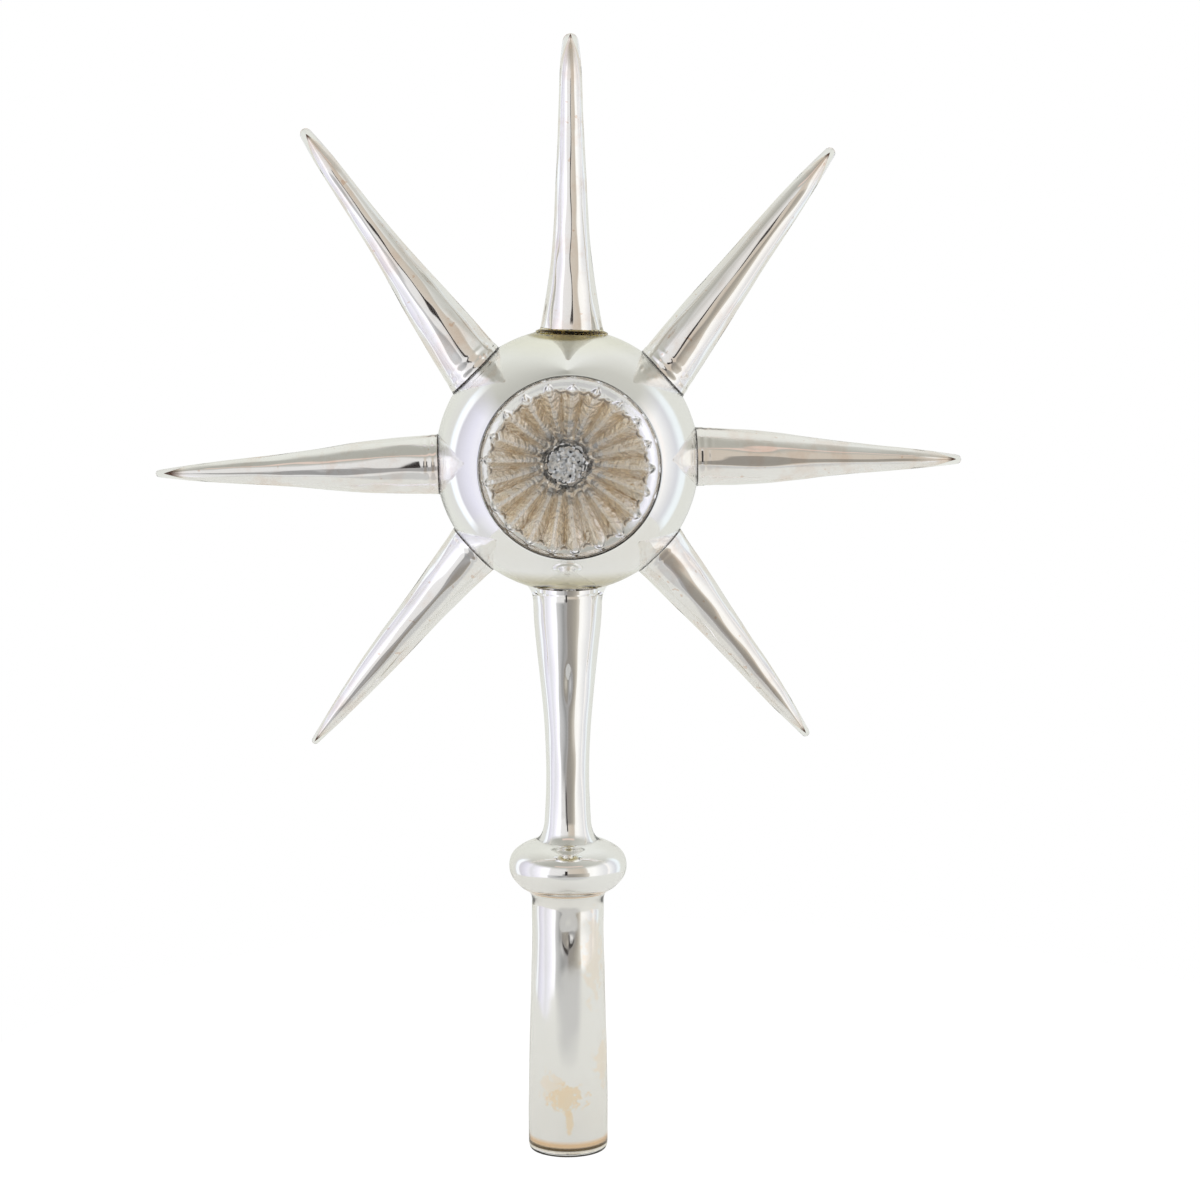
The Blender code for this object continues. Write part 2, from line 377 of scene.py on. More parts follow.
def add_disc(tree, distance, full, gone):
    """Full from 1 mm out to the first distance in millimetres, and gone at the second."""
    return add_band(tree, distance, 0.0, 1.0, full, gone)


def object_axis(tree, axis):
    coordinates = tree.nodes.new("ShaderNodeTexCoord")
    split = tree.nodes.new("ShaderNodeSeparateXYZ")
    tree.links.new(coordinates.outputs["Object"], split.inputs[0])
    return split.outputs[axis]


def distance_from(tree, centre, sizes=(1.0, 1.0, 1.0)):
    """Distance in metres from a point in millimetres. A size of 0 leaves that axis out."""
    coordinates = tree.nodes.new("ShaderNodeTexCoord")
    mapping = tree.nodes.new("ShaderNodeMapping")
    mapping.inputs["Scale"].default_value = sizes
    mapping.inputs["Location"].default_value = [-c * size * MM for c, size in zip(centre, sizes)]
    tree.links.new(coordinates.outputs["Object"], mapping.inputs["Vector"])
    length = tree.nodes.new("ShaderNodeVectorMath")
    length.operation = "LENGTH"
    tree.links.new(mapping.outputs["Vector"], length.inputs[0])
    return length.outputs["Value"]


def add_spot(tree, centre, sizes, ragged=0.6, scale=260.0):
    """A ragged patch round a point, both in millimetres: 1 inside it and 0 outside. It marks stains,
    and the table's painted shade.
    """
    away = distance_from(tree, centre, [1.0 / (size * MM) for size in sizes])
    near = add_math(tree, "SUBTRACT", 1.0, away)
    rough = add_math(tree, "SUBTRACT", add_noise(tree, scale, 4.0, 0.6), 0.5)
    edge = add_math(tree, "MULTIPLY_ADD", rough, 2.0 * ragged, near)
    return add_math(tree, "MULTIPLY", edge, 3.0, clamp=True)


def silver(name, bright, dull, colour_marks, roughness=0.03, ripple=0.00004, scale=90.0, patch=28.0,
           metal=1.0):
    """The silver lining: bright, with duller and warmer patches where the film is thin.

    colour_marks is a function that takes the node tree and gives (mask, colour) pairs: stains, and
    for the reflector and the socket also painted shade and painted highlights.
    """
    material, tree, shader, _ = new_material(name)
    shader.inputs["Metallic"].default_value = metal
    patches = add_noise(tree, patch, 4.0, 0.6, shift=3.1)
    colour = add_ramp(tree, patches, ((0.42, bright), (0.72, dull)))
    # Stains are laid on here, and for the reflector and the socket's mouth painted shade and painted
    # highlights too.
    for mask, mark_colour in colour_marks(tree):
        colour = add_mix(tree, mask, colour, mark_colour)
    tree.links.new(colour, shader.inputs["Base Color"])
    worn = add_noise(tree, patch * 3.0, 3.0, 0.6, shift=1.7)
    spread = tree.nodes.new("ShaderNodeMapRange")
    spread.inputs["To Min"].default_value = roughness * 0.5
    spread.inputs["To Max"].default_value = roughness * 1.6
    tree.links.new(worn, spread.inputs["Value"])
    tree.links.new(spread.outputs["Result"], shader.inputs["Roughness"])
    add_bump(tree, shader, add_noise(tree, scale, 2.0), 0.5, ripple)
    return material


def ball_stains(tree):
    """Duller round the stem and the top spike, where the flame was longest."""
    around = distance_from(tree, (0.0, 0.0, 0.0), (1.0, 1.0, 0.0))
    oval = distance_from(tree, (0.0, 0.0, 0.0), (1.24, 1.0, 0.0))
    height = object_axis(tree, "Z")
    top = add_band(tree, height, 220.0, 235.0)
    foot = add_disc(tree, height, 175.0, 185.0)
    near = add_disc(tree, around, 16.5, 22.5)
    collar = add_disc(tree, oval, 13.4, 14.6)
    weld = add_band(tree, around, 10.6, 11.2, 12.6, 13.6)
    return (
        (add_math(tree, "MULTIPLY", top, near), (0.94, 0.93, 0.85)),
        (add_math(tree, "MULTIPLY", top, collar), (0.48, 0.41, 0.17)),
        (add_math(tree, "MULTIPLY", foot, near), (0.62, 0.57, 0.40)),
        (add_math(tree, "MULTIPLY", foot, weld), (0.56, 0.46, 0.24)),
    )


def spike_stains(spike):
    """Brown at the end of the bore, and small copper freckles along it."""

    def colour_marks(tree):
        out = distance_from(tree, BALL_CENTRE)
        end = spike.reach - spike.clear
        burnt = add_band(tree, out, end - spike.burnt, end - 0.4 * spike.burnt)
        tan = add_band(tree, out, end - 7.0, end - 3.0)
        freckles = add_noise(tree, 520.0, 1.0, shift=spike.reach)
        sparse = add_window(tree, freckles, (0.72, 0.75, 1.0, 1.1))
        clouds = add_noise(tree, 70.0, 4.0, 0.7, shift=spike.lean)
        warm = add_window(tree, clouds, (0.50, 0.62, 1.0, 1.1))
        return (
            (add_math(tree, "MULTIPLY", warm, 0.6), (0.90, 0.80, 0.74)),
            (add_math(tree, "MULTIPLY", tan, 0.35), (0.75, 0.55, 0.36)),
            (burnt, (0.11, 0.055, 0.035)),
            (add_math(tree, "MULTIPLY", sparse, 0.45), (0.72, 0.48, 0.33)),
        )

    return colour_marks


def socket_stains_and_painted_lip_lines(tree):
    """Peach stains low down at the front and on the right, an orange band above the mouth, and a
    painted dark line and a painted pale line at the mouth, standing in for the light bent by the
    thick lip.
    """
    height = object_axis(tree, "Z")
    peach = (0.95, 0.78, 0.56)
    pale = (0.96, 0.86, 0.74)

    def faint(strength, *spot):
        return add_math(tree, "MULTIPLY", add_spot(tree, *spot), strength)

    return (
        (faint(0.75, (-4.4, -11.0, 20.5), (6.5, 6.0, 5.0), 1.3, 420.0), pale),
        (faint(0.80, (-1.0, -11.5, 17.5), (6.0, 6.0, 4.6), 1.5, 620.0), peach),
        (faint(0.80, (0.3, -12.0, 11.5), (1.3, 6.0, 4.6), 0.9, 620.0), peach),
        (faint(0.75, (10.5, -5.0, 28.0), (3.6, 6.0, 9.0), 1.2, 420.0), pale),
        (faint(0.60, (7.5, -8.0, 60.0), (3.5, 6.0, 14.0), 1.6, 420.0), pale),
        (add_band(tree, height, 2.2, 2.8, 3.6, 4.8), (0.92, 0.66, 0.42)),
        # Painted shade and painted highlight: a dark line, and a pale cream line below it, where the
        # thick lip bends the light.
        (add_band(tree, height, 1.5, 1.8, 2.4, 2.9), (0.16, 0.11, 0.05)),
        (add_band(tree, height, 0.0, 0.1, 1.5, 1.8), (1.0, 0.95, 0.86)),
    )


def stem_stains(tree):
    """Small dark drips near the stem's foot, and a peach line under the knop."""
    dark = (0.22, 0.20, 0.18)
    height = object_axis(tree, "Z")
    return (
        (add_spot(tree, (6.3, -2.2, 106.0), (0.9, 2.0, 2.6), 0.9, 900.0), dark),
        (add_spot(tree, (-6.4, -2.0, 103.0), (0.8, 2.0, 2.2), 0.9, 900.0), dark),
        (add_band(tree, height, 78.6, 79.0, 79.5, 80.0), (0.90, 0.70, 0.52)),
        (add_spot(tree, (0.0, -11.0, 96.5), (5.0, 4.0, 0.9)), (0.93, 0.74, 0.62)),
    )


def reflector_stains_and_painted_light(tree):
    """Painted shade in tan on one side of each flute and in brown along the grooves, a painted white
    highlight along each crest, tan clouds and brown spots, and duller round the glitter.
    """
    place = (DISH_SHIFT[0], 0.0, BALL_HEIGHT + DISH_SHIFT[1])
    out = distance_from(tree, place, (1.0, 0.0, 1.0))
    across = add_math(tree, "SUBTRACT", object_axis(tree, "X"), place[0] * MM)
    height = add_math(tree, "SUBTRACT", object_axis(tree, "Z"), place[2] * MM)
    turn = add_math(tree, "ARCTAN2", height, across)
    phase = add_math(tree, "MULTIPLY_ADD", turn, FLUTE_COUNT, -FLUTE_COUNT * CREST_TURN)
    side = add_math(tree, "SINE", phase)
    crest = add_math(tree, "COSINE", phase)
    flower = add_band(tree, out, 6.5, 8.5, 21.5, 23.2)
    blotch = add_noise(tree, 300.0, 3.0, 0.65, shift=5.0)
    cloud = add_noise(tree, 110.0, 3.0, 0.6, shift=9.0)

    def within(mask, strength):
        return add_math(tree, "MULTIPLY", add_math(tree, "MULTIPLY", mask, flower), strength)

    # Painted shade: one side of every flute is tan, as where light falls from the other side.
    painted_shade_side = add_window(tree, side, (-0.10, 0.12, 0.97, 1.05))
    tan_cloud = add_window(tree, cloud, (0.46, 0.60, 1.0, 1.1))
    # Painted shade: a brown line, broken up by noise, along the bottom of each groove.
    painted_groove_shade = add_window(tree, crest, (-3.0, -2.0, -0.96, -0.88))
    # Painted highlight: a white line along the top of each crest.
    painted_crest_highlight = add_window(tree, crest, (0.93, 0.975, 2.0, 3.0))
    ragged = add_window(tree, blotch, (0.48, 0.56, 1.0, 1.1))
    spots = add_window(tree, blotch, (0.65, 0.68, 1.0, 1.1))
    near_dot = add_band(tree, out, 4.5, 5.2, 6.6, 8.5)
    return (
        (within(painted_shade_side, 0.55), (0.92, 0.81, 0.66)),
        (within(tan_cloud, 0.60), (0.93, 0.82, 0.64)),
        (add_math(tree, "MULTIPLY", within(painted_groove_shade, 0.9), ragged), (0.42, 0.30, 0.15)),
        (within(spots, 0.8), (0.42, 0.30, 0.15)),
        (within(painted_crest_highlight, 0.9), (1.0, 1.0, 1.0)),
        (within(add_math(tree, "MULTIPLY", near_dot, ragged), 0.6), (0.46, 0.38, 0.26)),
    )


def glue_material():
    """Clear glue over grey glitter, dark in its gaps."""
    material, tree, shader, _ = new_material("glue")
    tree.links.new(
        add_ramp(tree, add_noise(tree, 900.0, 2.0), ((0.35, (0.08, 0.08, 0.09)),
                                                     (0.6, (0.52, 0.56, 0.60)))),
        shader.inputs["Base Color"],
    )
    shader.inputs["Roughness"].default_value = 0.18
    shader.inputs["Coat Weight"].default_value = 0.6
    return material


def flake_material():
    """Foil flakes, each a slightly different grey, a few of them black."""
    material, tree, shader, _ = new_material("glitter_flake")
    shader.inputs["Metallic"].default_value = 0.65
    shader.inputs["Roughness"].default_value = 0.22
    tree.links.new(
        add_ramp(tree, add_noise(tree, 700.0, 1.0), ((0.30, (0.04, 0.04, 0.05)),
                                                     (0.34, (0.70, 0.75, 0.80)),
                                                     (0.62, (0.96, 0.98, 1.0)))),
        shader.inputs["Base Color"],
    )
    return material


# ---------------------------------------------------------------- sections


def body_walls():
    """The body's outer and inner outlines as (height, radius) rows, from the top down."""
    outer = smooth_curve(BODY_OUTLINE, BODY_ROWS)
    slope = np.gradient(outer, axis=0)
    slope /= np.linalg.norm(slope, axis=1)[:, None]
    inner = outer - TUBE_WALL * np.column_stack([slope[:, 1], -slope[:, 0]])
    welded = inner[:, 0] > WELD_START
    inner[welded, 1] = np.minimum(inner[welded, 1], WELD_BORE)
    reach = int(3 * BORE_BLUR)
    spread = np.exp(-0.5 * (np.arange(-reach, reach + 1) / BORE_BLUR) ** 2)
    padded = np.pad(inner[:, 1], reach, mode="edge")
    inner[:, 1] = np.convolve(padded, spread / spread.sum(), mode="valid")
    under_ball = BALL_HEIGHT - np.sqrt((BALL_RADIUS + SEAT_GAP) ** 2 - inner[:, 1] ** 2)
    inner[:, 0] = np.minimum(inner[:, 0], under_ball)
    return outer, inner


def rows_at(rows, places):
    """Rows of an outline at fractional places along it."""
    whole = np.arange(len(rows))
    return np.column_stack([np.interp(places, whole, column) for column in rows.T])


def body_rings(outline, ripple):
    """Rings round Z for an outline of (height, radius) rows."""
    turn = np.arange(SECTION_STEPS) * 2 * math.pi / SECTION_STEPS
    rings = []
    for level, radius in outline:
        r = radius + BODY_RIPPLE * ripple(turn, level)
        rings.append(
            np.column_stack([r * np.cos(turn), r * np.sin(turn), np.full_like(turn, level)])
        )
    return rings


def make_section(name, top, bottom, materials, slot, cap=()):
    """A length of the body: glass outside, silver on its bore, and joints at its cut ends.

    cap holds (height, radius) rows that close the lower end with a rounded clear lip.
    """
    ripple = waves(41, 9, (9.0, 45.0))
    outer, inner = body_walls()
    places = np.arange(len(outer))
    first, last = np.interp([-top, -bottom], -outer[:, 0], places)
    places = np.concatenate([[first], places[(places > first) & (places < last)], [last]])
    outer, inner = rows_at(outer, places), rows_at(inner, places)
    if len(cap):
        inner = inner[inner[:, 0] > LIP_CLEAR]
    bore = np.vstack([inner[::-2], inner[:1]])
    skin = body_rings([*outer, *cap], ripple)
    streaks = waves(43, 14, (14.0, 70.0), (4, 11))

    def bore_ripple(turn, level):
        total = ripple(turn, level) + 0.7 * streaks(turn, level)
        front = np.mod(turn + math.pi / 2 + math.pi, 2 * math.pi) - math.pi
        for height, depth, high, wide in BORE_FLAWS:
            bump = np.exp(-0.5 * (((level - height) / high) ** 2 + (front / wide) ** 2))
            total = total - depth / BODY_RIPPLE * bump
        return total

    lively = body_rings(bore, bore_ripple)
    rings = [*skin, *lively]
    lower_end = 0 if len(cap) else 2
    kinds = [2 if height > WELD_FOOT else 0 for height in outer[1:, 0]]
    kinds += [0] * (len(skin) - 1 - len(kinds)) + [lower_end] + [1] * (len(bore) - 1) + [2]
    piece = ring_mesh(name, rings, kinds, materials, closed=True)
    return finish_piece(piece, slot, name)


def spike_outline(spike, length):
    """(distance, radius) points from the ball to the rounded tip."""
    stations = [(length * share, r) for share, r in zip((0.0, 0.25, 0.5, 0.75), spike.radii)]
    tip = spike.tip_radius
    start = length - 1.15 * tip
    cap = [
        (start + 1.15 * tip * math.sin(a), tip * math.cos(a))
        for a in (0.0, math.radians(35), math.radians(65), math.radians(90))
    ]
    return smooth_curve([*stations, *cap], 170)


def bore_share(distance, length, clear):
    """The bore's radius over the glass's, which pinches shut before the tip."""
    pinch = min(14.0, 0.2 * length)
    end = length - clear
    along = np.clip((distance - (end - pinch)) / pinch, 0.0, 1.0)
    return (1.0 - SPIKE_WALL_SHARE) * (1.0 - along**1.7) ** 0.8


def ring_distances(length):
    """Close together at the foot, where the flame left ridges, and at the tip."""
    foot = np.linspace(0.0, 7.0, 50)
    shaft = np.linspace(7.0, length - 9.0, 62)[1:]
    tip = length - 9.0 * (1.0 - np.linspace(0.0, 1.0, 26)[1:]) ** 1.6
    return np.concatenate([foot, shaft, tip])


def spike_frame(spike):
    """A spike's seat on the ball, the direction it points in, and its length."""
    seat_turn, lean_turn = math.radians(spike.seat), math.radians(spike.lean)
    seat = BALL_CENTRE + BALL_RADIUS * np.array([math.cos(seat_turn), 0.0, math.sin(seat_turn)])
    tip = BALL_CENTRE + spike.reach * np.array([math.cos(lean_turn), 0.0, math.sin(lean_turn)])
    length = float(np.linalg.norm(tip - seat))
    return seat, (tip - seat) / length, length


def make_spike(spike, materials, seed):
    """A drawn point: glass outside, silver on its bore, and its foot fused to the ball."""
    seat, axis, length = spike_frame(spike)
    tip = seat + axis * length
    side = np.array([-axis[2], 0.0, axis[0]])
    front = np.array([0.0, -1.0, 0.0])
    turn = np.arange(SECTION_STEPS) * 2 * math.pi / SECTION_STEPS
    spoke = np.outer(np.cos(turn), side) + np.outer(np.sin(turn), front)
    ripple = waves(seed, 9, (9.0, 45.0))
    streaks = waves(seed + 50, 16, (14.0, 70.0), (4, 13))
    outline = spike_outline(spike, length)

    def ring(distance, radius):
        """One ring of points. Near the ball it follows the ball's curve."""
        reach = seat - BALL_CENTRE + radius[:, None] * spoke
        inward = reach @ axis
        rest = BALL_RADIUS + SEAT_GAP
        foot = -inward + np.sqrt(inward**2 - (reach**2).sum(1) + rest**2)
        along = distance + foot * math.exp(-distance / SPIKE_FADE)
        share = distance / length
        bow = 4.0 * spike.bend * share * (1.0 - share)
        return seat + np.outer(along, axis) + bow * side + radius[:, None] * spoke

    def outer_radius(distance):
        radius = float(np.interp(distance, outline[:, 0], outline[:, 1]))
        lumps = FOOT_FLARE * math.exp(-distance / 0.9)
        for where, height in spike.ridges:
            lumps += height * math.exp(-(((distance - where) / RIDGE_WIDTH) ** 2))
        if spike.name == COLLARED:
            edge = min(1.0, max(0.0, (COLLAR_HEIGHT - distance) / COLLAR_ROUND))
            lumps = max(lumps, (COLLAR_RADIUS - radius) * math.sqrt(edge * (2.0 - edge)))
        wander = 0.014 * radius * ripple(turn, distance)
        return radius + wander + lumps * min(1.0, radius / 3.0)

    outer, inner, skins = [], [], []
    for distance in ring_distances(length)[:-1]:
        radius = outer_radius(distance)
        outer.append(ring(distance, radius))
        collared = spike.name == COLLARED and distance < COLLAR_HEIGHT
        skins.append(3 if collared else 0)
        share = float(bore_share(distance, length, spike.clear))
        if share > 0.02:
            mean = min(radius.mean(), spike.radii[0]) if collared else radius.mean()
            lively = 0.0065 + 0.006 * math.exp(-distance / 14.0)
            bore = mean * (1.0 + lively * streaks(turn, distance)) + 0.7 * (radius - radius.mean())
            inner.append(ring(distance, bore * share))
    bore_end = seat + axis * (length - spike.clear)
    rings = [tip, *outer[::-1], *inner, bore_end]
    kinds = [0, *skins[::-1][1:], 2, *[1] * len(inner)]
    piece = ring_mesh(spike.name, rings, kinds, materials)
    return finish_piece(piece, "silvered_spikes", spike.name)


def facing_front(across, height, forward):
    """Points given round the reflector's axis, in the row's frame. forward is towards -Y."""
    return np.column_stack([across, -forward, BALL_HEIGHT + height])


def rim_fillet(first, last, steps):
    """(radius, forward) points over the rounded edge, between two leans from the axis."""
    leans = np.linspace(first, last, steps)
    return [RIM_CENTRE + FILLET * np.array([math.sin(a), math.cos(a)]) for a in leans]


def feet():
    """Centre, axis and radius of each place where a spike or the stem is fused to the ball."""
    yield BALL_CENTRE, np.array([0.0, 0.0, -1.0]), BODY_OUTLINE[0][1]
    for spike in SPIKES:
        seat, axis, _ = spike_frame(spike)
        collared = spike.name == COLLARED
        yield seat, axis, COLLAR_RADIUS if collared else spike.radii[0] + FOOT_FLARE


def fuse_foot(mesh, foot, axis, radius):
    """Give the ball's outer faces under a foot the joint material, with a clean round edge."""
    points = np.empty(3 * len(mesh.vertices))
    mesh.vertices.foreach_get("co", points)
    points = points.reshape(-1, 3) / MM
    reach = points - foot
    along = reach @ axis
    across = reach - np.outer(along, axis)
    apart = np.linalg.norm(across, axis=1)
    from_centre = np.linalg.norm(points - BALL_CENTRE, axis=1)
    skin = (from_centre > BALL_RADIUS - 0.4) & ((points - BALL_CENTRE) @ axis > 0.0)
    near = skin & (np.abs(apart - radius) < 0.3)
    moved = points[near] + across[near] * (radius / apart[near] - 1.0)[:, None] - BALL_CENTRE
    moved *= (from_centre[near] / np.linalg.norm(moved, axis=1))[:, None]
    moved += BALL_CENTRE
    points[near] = moved
    mesh.vertices.foreach_set("co", (points * MM).ravel())
    for face in mesh.polygons:
        corners = list(face.vertices)
        if skin[corners].all() and apart[corners].mean() < radius:
            face.material_index = 2


def make_ball(materials):
    """The ball's wall, from the pole at the back to the rounded rim, and its silver inside."""
    turn = np.arange(BALL_STEPS) * 2 * math.pi / BALL_STEPS
    ripple = waves(5, 8, (20.0, 60.0))

    def ring(radius, forward):
        return facing_front(radius * np.cos(turn), radius * np.sin(turn), forward + 0 * turn)

    def pole(forward):
        return facing_front(np.zeros(1), np.zeros(1), np.array([forward]))

    outer = []
    for lean in np.linspace(math.pi, OPENING_TURN, 140)[1:]:
        calm = min(1.0, (lean - OPENING_TURN) / 0.15)
        r = BALL_RADIUS + 0.035 * calm * ripple(turn, 30.0 * lean)
        outer.append(ring(r * math.sin(lean), r * math.cos(lean)))
    outer.extend(ring(*point) for point in rim_fillet(OPENING_TURN, 0.0, 9)[1:])
    edge = OPENING_TURN + BARE_GLASS / BALL_BORE
    crease = ring(*RIM_CENTRE)
    inner = [
        ring(BALL_BORE * math.sin(a), BALL_BORE * math.cos(a))
        for a in np.linspace(edge, math.pi, BALL_ROWS)
    ]
    rings = [pole(-BALL_RADIUS), *outer, crease, *inner[:-1], pole(-BALL_BORE)]
    kinds = [0] * len(outer) + [2, 0] + [1] * (len(inner) - 1)
    piece = ring_mesh("ball", rings, kinds, materials)
    for foot, axis, radius in feet():
        fuse_foot(piece.data, foot, axis, radius)
    return finish_piece(piece, "silvered_ball", "ball")


def dish_profile():
    """(radius, forward) points from the rim down to the seat of the glitter."""
    lip = rim_fillet(0.0, -math.radians(40), 6)
    top = lip[-1]
    drops = (
        (24.75, 0.85), (23.6, 1.75), (20.6, 4.9), (16.8, 9.8), (12.8, 15.4), (9.2, 20.3),
        (6.9, 23.1), (5.6, 24.3),
    )
    wall = smooth_curve([tuple(top), *[(r, top[1] - drop) for r, drop in drops]], 88)
    return np.vstack([lip, wall[1:]])


def make_reflector(materials):
    """The pressed cup: straight-sided flutes that end in points, and a ragged pit."""
    steps = FLUTE_COUNT * 20
    turn = np.arange(steps) * 2 * math.pi / steps
    rng = np.random.default_rng(11)
    wander = sum(
        0.004 * np.sin(m * turn + rng.uniform(0.0, 2 * math.pi)) for m in (2, 3, 5, 8, 13)
    )
    crest = np.arcsin(0.97 * np.cos(FLUTE_COUNT * (turn - CREST_TURN + wander))) / math.pi
    lobes = sum(0.12 * np.sin(m * turn + rng.uniform(0.0, 2 * math.pi)) for m in (4, 7, 11))
    edge = FLOWER_RADIUS + FLOWER_POINTS * crest + lobes
    crumpled = np.clip(np.sin(turn - 0.2) + 0.15, 0.0, 1.0)
    profile = dish_profile()
    slope = np.gradient(profile, axis=0)
    slope /= np.linalg.norm(slope, axis=1)[:, None]
    normals = np.column_stack([slope[:, 1], -slope[:, 0]])
    normals *= np.sign(normals[:, 1])[:, None]

    def texture(radius, pitch, seed, octaves=2):
        return np.array(
            [
                noise.fractal(
                    Vector((radius * math.cos(t), radius * math.sin(t), seed)) / pitch,
                    0.6, 2.0, octaves,
                )
                for t in turn
            ]
        )

    def relief(radius):
        """Height of the pressed surface above the smooth cup, towards the front."""
        into = np.clip((edge - radius) / 1.3, 0.0, 1.0)
        into = into * into * (3.0 - 2.0 * into)
        out_of_pit = np.clip((radius - 6.2) / 3.5, 0.0, 1.0)
        flute = math.pi * radius / FLUTE_COUNT * math.tan(FLUTE_TILT) * crest
        streaks = np.array(
            [noise.noise(Vector((9 * math.cos(t), 9 * math.sin(t), 0.12 * radius))) for t in turn]
        )
        height = into * out_of_pit * (flute + 0.12 * streaks)
        height += into * 0.13 * texture(radius, 2.6, 1.0, 3)
        rim_band = np.exp(-(((radius - 22.6) / 1.6) ** 2))
        height += into * rim_band * crumpled * 0.5 * texture(radius, 2.2, 7.0)
        pit = math.exp(-(((radius - 7.2) / 2.2) ** 2))
        return height + pit * 0.55 * texture(radius, 2.6, 13.0)

    shifts = np.clip((RIM_RADIUS - 0.8 - profile[:, 0]) / 1.6, 0.0, 1.0)
    heights = [relief(radius) for radius, _ in profile]

    def ring(index, depth):
        lift = heights[index] - depth
        r = profile[index, 0] + normals[index, 0] * lift
        f = profile[index, 1] + normals[index, 1] * lift
        shift = shifts[index]
        return facing_front(
            r * np.cos(turn) + shift * DISH_SHIFT[0], r * np.sin(turn) + shift * DISH_SHIFT[1], f
        )

    def pole(forward):
        return facing_front(
            np.array([DISH_SHIFT[0]]), np.array([DISH_SHIFT[1]]), np.array([forward])
        )

    count = len(profile)
    front = [ring(i, 0.0) for i in range(count)]
    behind = [ring(i, DISH_WALL) for i in range(6, count)]
    crease = facing_front(
        (RIM_CENTRE[0] - SEAM) * np.cos(turn), (RIM_CENTRE[0] - SEAM) * np.sin(turn),
        RIM_CENTRE[1] + 0 * turn,
    )
    front[0][:, 0] *= 1.0 - SEAM / RIM_RADIUS
    floor = profile[-1][1] - 0.3
    rings = [pole(floor), *front[::-1], crease, *behind, pole(floor - DISH_WALL)]
    kinds = [0] * len(front) + [2, 0] + [1] * len(behind)
    piece = ring_mesh("reflector", rings, kinds, materials)
    finish_piece(piece, "silvered_reflector", "reflector")
    return floor


def flake_corners(rng, dome):
    """The twelve corners of one flake, lying on the dome at a small random tilt."""
    share = math.sqrt(rng.uniform(0.0, 0.97))
    place = rng.uniform(0.0, 2 * math.pi)
    centre = facing_front(
        np.array([DOT_RADIUS * share * math.cos(place) + DISH_SHIFT[0]]),
        np.array([DOT_RADIUS * share * math.sin(place) + DISH_SHIFT[1]]),
        np.array([dome(share) + rng.uniform(-0.05, 0.12)]),
    )[0]
    size = rng.uniform(0.4, 0.85)
    tilt = Matrix.Rotation(rng.normal(0.0, 0.24), 3, "X")
    swing = Matrix.Rotation(rng.normal(0.0, 0.24), 3, "Z")
    spin = Matrix.Rotation(rng.uniform(0.0, math.pi), 3, "Y")
    corners = []
    for thickness in (-0.02, 0.02):
        for corner in range(6):
            a = corner * math.pi / 3
            at = Vector((size * math.cos(a), thickness, size * math.sin(a)))
            corners.append(tuple((Vector(centre) + tilt @ swing @ spin @ at) * MM))
    return corners


def make_glitter(floor, glue, flake):
    """A dab of glue on the seat, with small flat flakes lying in it at all angles."""
    steps = DOT_STEPS
    turn = np.arange(steps) * 2 * math.pi / steps
    rng = np.random.default_rng(3)
    wobble = 1.0 + sum(
        0.016 * np.sin(m * turn + rng.uniform(0.0, 2 * math.pi)) for m in (2, 3, 5, 7)
    )
    points, faces, kinds = [], [], []

    def dome(share):
        return floor + 0.55 + 0.75 * math.sqrt(max(0.0, 1.0 - share**2.6))

    def add_ring(share, forward):
        r = DOT_RADIUS * share * wobble
        across = r * np.cos(turn) + DISH_SHIFT[0]
        height = r * np.sin(turn) + DISH_SHIFT[1]
        points.extend(map(tuple, facing_front(across, height, forward + 0 * turn) * MM))

    shares = np.sin(np.linspace(0.04, math.pi / 2, 20))
    for share in shares:
        add_ring(share, dome(share))
    add_ring(0.9, floor + 0.3)
    for i in range(len(shares)):
        for j in range(steps):
            k = (j + 1) % steps
            faces.append([i * steps + j, i * steps + k, (i + 1) * steps + k, (i + 1) * steps + j])
            kinds.append(0)
    faces.append(list(range(steps))[::-1])
    faces.append(list(range(len(shares) * steps, (len(shares) + 1) * steps)))
    kinds.extend([0, 0])
    for _ in range(FLAKE_COUNT):
        start = len(points)
        points.extend(flake_corners(rng, dome))
        faces.append([start + c for c in range(6)])
        faces.append([start + 11 - c for c in range(6)])
        for c in range(6):
            d = (c + 1) % 6
            faces.append([start + d, start + c, start + 6 + c, start + 6 + d])
        kinds.extend([1] * 8)
    piece = add_solid("glitter_dot", points, faces, kinds, (glue, flake), 35)
    return finish_piece(piece, "glitter", "glitter_dot")


# ---------------------------------------------------------------- build

glass = clear_glass("soda_glass")
joint = clear_glass("fused_glass", (1.0, 1.0, 1.0), 1.0)
amber = clear_glass("amber_glass", (0.74, 0.66, 0.40), 1.12)
ball_silver = silver("ball_silver", (0.97, 0.97, 0.97), (0.94, 0.93, 0.91), ball_stains)
stem_silver = silver("stem_silver", (0.96, 0.96, 0.955), (0.93, 0.91, 0.89), stem_stains)
socket_silver = silver("socket_silver", (0.95, 0.945, 0.93), (0.92, 0.90, 0.87), socket_stains_and_painted_lip_lines,
                       0.06)
# Its marks include painted shade on one side of each flute and in the grooves, and painted highlights
# on the crests.
reflector_silver = silver("reflector_silver", (1.0, 1.0, 1.0), (0.97, 0.97, 0.975),
                          reflector_stains_and_painted_light, 0.03, 0.00006, 800.0, 150.0, metal=0.88)

